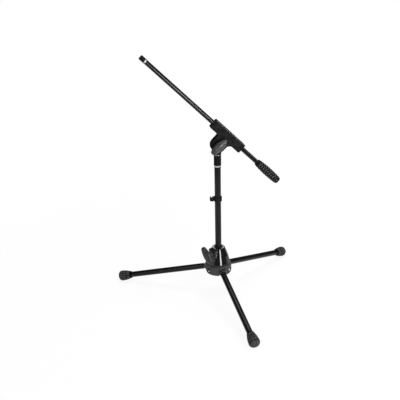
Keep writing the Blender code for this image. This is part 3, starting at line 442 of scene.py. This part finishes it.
def grip():
    """The counterweight grip, with rows of raised pads in staggered columns."""
    front, rear = -0.121, -0.2055
    length = front - rear
    front_width, rear_width, belly = 0.0184, 0.0196, 0.0044
    rear_corner, front_corner = 0.0022, 0.0011
    pitch, columns, pad_height = 0.0076, 4, 0.0007
    plain_end, pad_edge = (0.003, 0.007), (0.05, 0.45)
    # Painted shade in the grooves and a painted highlight on the pads
    groove_shade, pad_highlight = 0.02, 0.6
    steps, sides = 156, 112

    def rounded(gap, radius):
        """How far a rounded corner of the given radius falls back at a distance from its end."""
        inside = max(radius - gap, 0)
        return radius - math.sqrt(max(radius**2 - inside**2, 0))

    profile = []
    for i in range(steps + 1):
        distance = length * i / steps
        share = 1 - distance / length
        ends = front_width + (rear_width - front_width) * share
        radius = (ends + belly * math.sin(math.pi * share)) / 2
        fall = rounded(distance, rear_corner) + rounded(length - distance, front_corner)
        profile.append((radius - fall, rear + distance))

    def pad(angle, height):
        """1 on a raised pad and 0 in the grooves between."""
        distance = height - rear
        fade = smoothstep(*plain_end, distance) * smoothstep(*plain_end, length - distance)
        wave = math.cos(math.tau * distance / pitch) * math.cos(columns * angle)
        return fade * smoothstep(*pad_edge, wave)

    def padded(angle, radius, height):
        return radius + pad_height * pad(angle, height)

    # Painted light: painted shade in the grooves, a painted highlight on the pads
    def painted_light(angle, height):
        return groove_shade + (pad_highlight - groove_shade) * pad(angle, height)

    bm = bmesh.new()
    place = axis_frame(BOOM_CENTRE, BOOM_DIRECTION, BOOM_NORMAL)
    lathe(bm, profile, place, sides, padded, painted_light)
    dress(bm, "padded_grip", "boom_grip", RUBBER_WITH_PAINTED_LIGHT, MOULDED_EDGE)


def clutch():
    """The twist sleeve, knurled in fine crossed grooves between two plain rims."""
    outer, bore, chamfer = 0.0101, 0.0066, 0.0005
    margin, plain_rim = 0.0012, (0.0024, 0.0034)
    knurls, knurl_rise, sharpness, depth = 26, 0.0046, 12, 0.0005
    steps, sides = 72, 208
    low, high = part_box("clutch_sleeve")
    bottom = low[2]
    height = high[2] - low[2]

    profile = [(bore, 0.0), (outer - chamfer, 0.0), (outer, chamfer)]
    for i in range(steps + 1):
        profile.append((outer, margin + (height - 2 * margin) * i / steps))
    profile += [(outer, height - chamfer), (outer - chamfer, height), (bore, height)]

    def knurled(angle, radius, level):
        share = smoothstep(*plain_rim, level) * smoothstep(*plain_rim, height - level)
        turn = knurls * angle
        rise = math.tau * level / knurl_rise
        cross = max(abs(math.cos((turn + rise) / 2)), abs(math.cos((turn - rise) / 2)))
        return radius - depth * share * cross**sharpness

    bm = bmesh.new()
    lathe(bm, profile, Matrix.Translation(MAST + Vector((0, 0, bottom))), sides, knurled)
    dress(bm, "knurled_clutch", "clutch_sleeve", KNURLED, MOULDED_EDGE)


def leaf(bm, matrix, length, width, thickness):
    """A paddle: long axis on local Y, blunt at its low end, thickness on Z."""
    around, along = 64, 48
    egg = 0.2
    rings = []
    for i in range(1, along):
        z = -math.cos(math.pi * i / along)
        taper = (1 - z * z) ** (0.5 + egg * z)
        ring = []
        for j in range(around):
            angle = math.tau * j / around
            x, y = taper * math.cos(angle), taper * math.sin(angle)
            point = Vector((x * width / 2, z * length / 2, -y * thickness / 2))
            ring.append(bm.verts.new(matrix @ point))
        rings.append(ring)
    low, high = (bm.verts.new(matrix @ Vector((0, s * length / 2, 0))) for s in (-1, 1))
    close_rings(bm, rings)
    for j in range(around):
        k = (j + 1) % around
        bm.faces.new((low, rings[0][j], rings[0][k]))
        bm.faces.new((high, rings[-1][k], rings[-1][j]))


def joined(*parts):
    """One closed mesh of two that overlap."""
    pieces = []
    for bm in parts:
        bmesh.ops.recalc_face_normals(bm, faces=bm.faces)
        mesh = bpy.data.meshes.new("joining")
        bm.to_mesh(mesh)
        bm.free()
        pieces.append(bpy.data.objects.new("joining", mesh))
        bpy.context.scene.collection.objects.link(pieces[-1])
    union = pieces[0].modifiers.new("union", "BOOLEAN")
    union.operation = "UNION"
    union.solver = "EXACT"
    union.object = pieces[1]
    bm = bmesh.new()
    bm.from_object(pieces[0], bpy.context.evaluated_depsgraph_get())
    bmesh.ops.dissolve_degenerate(bm, edges=bm.edges, dist=1e-5)
    for piece in pieces:
        bpy.data.objects.remove(piece)
    return bm


def wing(name, replaced, finish, origin, outward, long_axis, seat, size):
    """A paddle of a length, width and thickness, on a waisted boss along the screw's axis."""
    boss_height, boss_steps, boss_sides = 0.018, 16, 48
    root, taper, waist, bore = 0.0075, 0.0015, 0.0009, 0.0034
    place = axis_frame(origin, outward, Vector(long_axis).cross(outward))
    paddle = bmesh.new()
    leaf(paddle, place @ Matrix.Translation((0, 0, seat + boss_height)), *size)
    profile = [(bore, seat)]
    for i in range(boss_steps + 1):
        share = i / boss_steps
        radius = root - taper * share - waist * math.sin(math.pi * share)
        profile.append((radius, seat + boss_height * share))
    boss = bmesh.new()
    lathe(boss, profile, place, boss_sides)
    dress(joined(paddle, boss), name, replaced, finish, KNOB_EDGE)


def rub_and_highlight(bm):
    """Marks the clamp's upper bevels as worn, with a painted highlight, most where they meet its
    flat sides.
    """
    bevel, flat, upward = 0.3, 0.95, 0.2
    wear_and_highlight = bm.loops.layers.float.new("wear_and_highlight")
    bm.normal_update()
    for face in bm.faces:
        if bevel < abs(face.normal.y) < flat and face.normal.dot(BOOM_NORMAL) > upward:
            for corner in face.loops:
                sides = corner.vert.link_faces
                corner[wear_and_highlight] = float(any(abs(side.normal.y) > flat for side in sides))


def fine(name):
    """A smooth-shaded copy of a CAD node."""
    bm = bmesh.new()
    bm.from_mesh(NODES[name].data)
    bm.transform(NODES[name].matrix_world)
    bmesh.ops.remove_doubles(bm, verts=bm.verts, dist=1e-6)
    bmesh.ops.dissolve_limit(bm, angle_limit=math.radians(1), verts=bm.verts, edges=bm.edges)
    # The clamp's upper bevels are worn and painted with a highlight
    if name.startswith("boom_clamp"):
        rub_and_highlight(bm)
    edge = CONE_EDGE if name == "hub_cone" else TURNED_EDGE
    dress(bm, f"fine_{name}", name, finish_of(name), edge)


def camera():
    """The photograph's camera: its fit gives the target, distance, elevation, lens and roll."""
    distance = 1.829136
    roll = math.radians(-1.236)
    target = MAST + Vector((-0.04895, 0.00863, 0.288675))
    back = direction(260, 22.468)
    data = bpy.data.cameras.new("camera")
    data.sensor_width = 36.0
    data.lens = 59.19
    eye = bpy.data.objects.new("camera", data)
    turn = back.to_track_quat("Z", "Y").to_matrix().to_4x4() @ Matrix.Rotation(roll, 4, "Z")
    eye.matrix_world = Matrix.Translation(target + back * distance) @ turn
    bpy.context.scene.collection.objects.link(eye)
    bpy.context.scene.camera = eye


def lay_floor():
    """A pale round floor that keeps the stand's shadow and fades to white further out.

    What mirrors it sees it white near the stand, and dim like the room far out.
    """
    shadow_fades, least_white = (0.35, 1.1), 0.88
    mirror_fades = (0.8, 1.3)
    mesh = bpy.data.meshes.new("floor")
    bm = bmesh.new()
    bmesh.ops.create_circle(bm, cap_ends=True, radius=2, segments=64)
    bm.to_mesh(mesh)
    bm.free()
    floor = bpy.data.objects.new("floor", mesh)
    floor.location = (0, 0, -0.0003)
    bpy.context.scene.collection.objects.link(floor)

    paint = bpy.data.materials.new("pale_floor")
    tree = Tree(paint)
    shader = tree.nodes["Principled BSDF"]
    shader.inputs["Base Color"].default_value = (0.9, 0.9, 0.9, 1)
    shader.inputs["Roughness"].default_value = 0.9
    shader.inputs["Specular IOR Level"].default_value = 0.0
    reach = tree.nodes.new("ShaderNodeVectorMath")
    reach.operation = "LENGTH"
    tree.links.new(tree.output("ShaderNodeTexCoord", "Object"), reach.inputs[0])
    sweep = tree.ramp(reach.outputs["Value"], 1.0, CEILING, *mirror_fades)
    camera_ray = tree.output("ShaderNodeLightPath", "Is Camera Ray")
    glow = tree.nodes.new("ShaderNodeEmission")
    tree.links.new(tree.blend(camera_ray, sweep, 1.0), glow.inputs["Strength"])
    fade = tree.ramp(reach.outputs["Value"], least_white, 1.0, *shadow_fades)
    mix = tree.nodes.new("ShaderNodeMixShader")
    tree.links.new(tree.product(tree.white_rays(), fade), mix.inputs["Fac"])
    tree.links.new(shader.outputs["BSDF"], mix.inputs[1])
    tree.links.new(glow.outputs["Emission"], mix.inputs[2])
    tree.links.new(mix.outputs["Shader"], tree.nodes["Material Output"].inputs["Surface"])
    mesh.materials.append(paint)


def light_world():
    """White to the camera; metal mirrors a dim room with a white band low behind the stand."""
    band_bottom, band_top, band_side = (-0.14, -0.06), (0.0, 0.06), (0.3, 0.8)
    world = bpy.data.worlds.new("studio")
    bpy.context.scene.world = world
    tree = Tree(world)
    background = tree.nodes["Background"]
    background.inputs["Color"].default_value = (1, 1, 1, 1)
    heading = tree.nodes.new("ShaderNodeSeparateXYZ")
    tree.links.new(tree.output("ShaderNodeTexCoord", "Generated"), heading.inputs["Vector"])
    low = tree.ramp(heading.outputs["Z"], 1.0, 0.0, *band_top)
    above = tree.ramp(heading.outputs["Z"], 0.0, 1.0, *band_bottom)
    behind = tree.ramp(heading.outputs["Y"], 0.0, 1.0, *band_side)
    backdrop = tree.product(tree.product(low, above), behind)
    room = tree.blend(backdrop, CEILING, 1.0)
    mirrored = tree.blend(tree.white_rays(), AMBIENT, room)
    camera_ray = tree.output("ShaderNodeLightPath", "Is Camera Ray")
    tree.links.new(tree.blend(camera_ray, mirrored, 1.0), background.inputs["Strength"])


def bank(name, target, azimuth, elevation, distance, size, power, side=None):
    """A soft lamp that faces a point of the stand, level or with its width along side."""
    away = direction(azimuth, elevation)
    data = bpy.data.lights.new(name, "AREA")
    data.shape = "RECTANGLE"
    data.size, data.size_y = size
    data.energy = power
    lamp = bpy.data.objects.new(name, data)
    if side is None:
        side = Vector((0, 0, 1)).cross(away)
    lamp.matrix_world = axis_frame(target + distance * away, away, side)
    bpy.context.scene.collection.objects.link(lamp)


def hang_lamps():
    """Seven soft lamps: above, behind, in front and at the sides."""
    stand = MAST + Vector((0, 0, 0.25))
    front_leg = MAST + Vector((0.016, -0.165, 0.047))
    boom_front = BOOM_CENTRE + 0.17 * BOOM_DIRECTION
    bank("overhead_bank", stand, 90, 84, 2.0, (1.6, 0.9), 18)
    bank("leg_bank", front_leg, 90, 62.5, 2.0, (1.6, 0.3), 5)
    bank("low_back_bank", stand, 79, 23, 2.1, (0.9, 0.6), 6)
    bank("key_bank", stand, 282, 5, 2.2, (0.54, 0.6), 24)
    bank("boom_bank", boom_front, 308, 5, 1.0, (0.3, 0.12), 4.5, BOOM_DIRECTION)
    bank("side_bank", stand, 350, 22, 2.2, (0.5, 0.5), 8)
    bank("left_bank", stand, 212, 27, 2.2, (0.6, 1.0), 5)


for name, node in NODES.items():
    node.data.materials.clear()
    node.data.materials.append(finish_of(name))

feet()
grip()
clutch()
for name in ("boom_rod", "mast_tube", "leg_tube_1", "leg_tube_2", "leg_tube_3", "hub_cone",
             "leg_carrier", "boom_clamp_front", "boom_clamp_rear", "swivel_knuckle", "cable_clip",
             "thread_cap", "hub_bush", "clutch_ferrule", "extension_tube", "extension_stud",
             "boom_tip_stud", "leg_eye_1", "leg_eye_2", "leg_eye_3"):
    fine(name)
# The hub's paddle in painted shade, and the boom's knob painted paler as lit
wing("hub_leaf_knob", "hub_wing_knob", SHADED_PADDLE, HUB_SCREW, direction(HUB_SCREW_AZIMUTH),
     direction(HUB_SCREW_AZIMUTH + 90, HUB_PADDLE_LEAN), seat=0.0293, size=(0.056, 0.026, 0.0155))
wing("boom_leaf_knob", "boom_wing_knob", LIT_LEAF, PIVOT, (0, -1, 0),
     direction(0, BOOM_PADDLE_LEAN), seat=0.0101, size=(0.054, 0.023, 0.014))

camera()
lay_floor()
light_world()
hang_lamps()
bpy.context.scene.view_settings.view_transform = "Standard"
